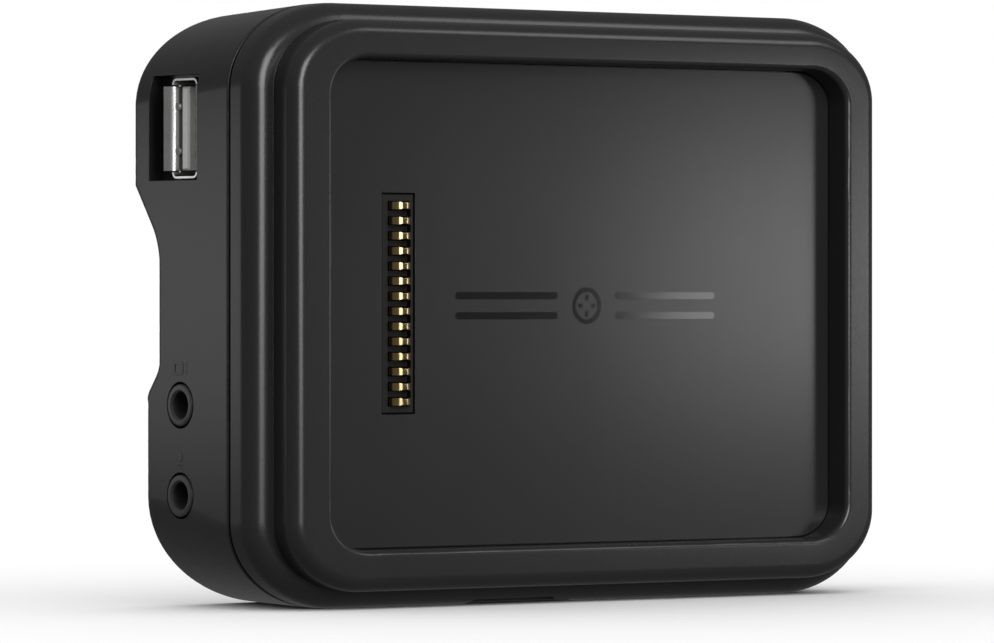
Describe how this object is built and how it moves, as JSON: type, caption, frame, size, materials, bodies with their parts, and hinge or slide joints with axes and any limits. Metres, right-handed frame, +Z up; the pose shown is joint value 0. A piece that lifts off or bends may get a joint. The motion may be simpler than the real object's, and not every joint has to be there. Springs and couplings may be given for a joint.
{
  "type": "powered magnetic gps dock",
  "caption": "Powered magnetic docking cradle for a portable GPS, with a row of sprung contacts, side ports and a four-hole mounting pad.",
  "frame": {"origin": "on the surface it stands on, under the middle of the cradle's bounding box", "axes": "+Z up; the docking face looks along -Y and the mounting pad along +Y; +X to the right seen from the front"},
  "size_m": [0.108, 0.0332, 0.08],
  "materials": {
    "housing_plastic": "fine moulded texture, satin black",
    "panel_plastic": "smooth semi-gloss black",
    "seal_rubber": "matt black",
    "label_film": "blank matt film",
    "connector_plastic": "glass-filled black",
    "port_plastic": "satin black",
    "gold_plate": "bright gold plate",
    "circuit_board": "green solder mask",
    "zinc_steel": "zinc plated",
    "black_steel": "black oxide",
    "tinned_steel": "bright tin plate",
    "nickel_plate": "nickel plate",
    "chip_epoxy": "matt epoxy",
    "ferrite": "sintered grey",
    "can_aluminium": "bright aluminium can",
    "tongue_plastic": "natural moulded plastic",
    "insert_brass": "turned brass"
  },
  "bodies": {
    "cradle": {"front_housing": "housing_plastic", "rear_cover": "housing_plastic", "tray_panel": "panel_plastic", "perimeter_seal": "seal_rubber", "rating_label": "label_film", "contact_housing": "connector_plastic", "contact_tails": "gold_plate", "contact_board": "circuit_board", "contact_board_screws": "zinc_steel", "link_header": "connector_plastic", "link_pins": "gold_plate", "magnets": "nickel_plate", "iron_plate": "zinc_steel", "main_board": "circuit_board", "board_screws": "zinc_steel", "shield_can": "tinned_steel", "video_chip": "chip_epoxy", "hub_chip": "chip_epoxy", "power_inductor": "ferrite", "capacitors": "can_aluminium", "usb_shell": "tinned_steel", "usb_tongue": "tongue_plastic", "usb_contacts": "gold_plate", "inlet_body": "port_plastic", "inlet_pin": "nickel_plate", "inlet_spring": "nickel_plate", "housing_screws": "black_steel", "screw_caps": "seal_rubber", "mount_inserts": "insert_brass", "camera_jack_body": "connector_plastic", "mic_jack_body": "connector_plastic", "camera_jack_collar": "port_plastic", "mic_jack_collar": "port_plastic", "camera_jack_springs": "nickel_plate", "mic_jack_springs": "nickel_plate"},
    "contact_01": {"spring_contact_01": "gold_plate"},
    "contact_02": {"spring_contact_02": "gold_plate"},
    "contact_03": {"spring_contact_03": "gold_plate"},
    "contact_04": {"spring_contact_04": "gold_plate"},
    "contact_05": {"spring_contact_05": "gold_plate"},
    "contact_06": {"spring_contact_06": "gold_plate"},
    "contact_07": {"spring_contact_07": "gold_plate"},
    "contact_08": {"spring_contact_08": "gold_plate"},
    "contact_09": {"spring_contact_09": "gold_plate"},
    "contact_10": {"spring_contact_10": "gold_plate"},
    "contact_11": {"spring_contact_11": "gold_plate"},
    "contact_12": {"spring_contact_12": "gold_plate"},
    "contact_13": {"spring_contact_13": "gold_plate"},
    "contact_14": {"spring_contact_14": "gold_plate"}
  },
  "joints": [
    {"name": "contact_01_press", "type": "slide", "parent": "cradle", "child": "contact_01", "axis": [0, 1, 0], "range_m": [0, 0.0012], "stiffness_N_per_m": 600, "springref_m": -0.0003},
    {"name": "contact_02_press", "type": "slide", "parent": "cradle", "child": "contact_02", "axis": [0, 1, 0], "range_m": [0, 0.0012], "stiffness_N_per_m": 600, "springref_m": -0.0003},
    {"name": "contact_03_press", "type": "slide", "parent": "cradle", "child": "contact_03", "axis": [0, 1, 0], "range_m": [0, 0.0012], "stiffness_N_per_m": 600, "springref_m": -0.0003},
    {"name": "contact_04_press", "type": "slide", "parent": "cradle", "child": "contact_04", "axis": [0, 1, 0], "range_m": [0, 0.0012], "stiffness_N_per_m": 600, "springref_m": -0.0003},
    {"name": "contact_05_press", "type": "slide", "parent": "cradle", "child": "contact_05", "axis": [0, 1, 0], "range_m": [0, 0.0012], "stiffness_N_per_m": 600, "springref_m": -0.0003},
    {"name": "contact_06_press", "type": "slide", "parent": "cradle", "child": "contact_06", "axis": [0, 1, 0], "range_m": [0, 0.0012], "stiffness_N_per_m": 600, "springref_m": -0.0003},
    {"name": "contact_07_press", "type": "slide", "parent": "cradle", "child": "contact_07", "axis": [0, 1, 0], "range_m": [0, 0.0012], "stiffness_N_per_m": 600, "springref_m": -0.0003},
    {"name": "contact_08_press", "type": "slide", "parent": "cradle", "child": "contact_08", "axis": [0, 1, 0], "range_m": [0, 0.0012], "stiffness_N_per_m": 600, "springref_m": -0.0003},
    {"name": "contact_09_press", "type": "slide", "parent": "cradle", "child": "contact_09", "axis": [0, 1, 0], "range_m": [0, 0.0012], "stiffness_N_per_m": 600, "springref_m": -0.0003},
    {"name": "contact_10_press", "type": "slide", "parent": "cradle", "child": "contact_10", "axis": [0, 1, 0], "range_m": [0, 0.0012], "stiffness_N_per_m": 600, "springref_m": -0.0003},
    {"name": "contact_11_press", "type": "slide", "parent": "cradle", "child": "contact_11", "axis": [0, 1, 0], "range_m": [0, 0.0012], "stiffness_N_per_m": 600, "springref_m": -0.0003},
    {"name": "contact_12_press", "type": "slide", "parent": "cradle", "child": "contact_12", "axis": [0, 1, 0], "range_m": [0, 0.0012], "stiffness_N_per_m": 600, "springref_m": -0.0003},
    {"name": "contact_13_press", "type": "slide", "parent": "cradle", "child": "contact_13", "axis": [0, 1, 0], "range_m": [0, 0.0012], "stiffness_N_per_m": 600, "springref_m": -0.0003},
    {"name": "contact_14_press", "type": "slide", "parent": "cradle", "child": "contact_14", "axis": [0, 1, 0], "range_m": [0, 0.0012], "stiffness_N_per_m": 600, "springref_m": -0.0003}
  ]
}
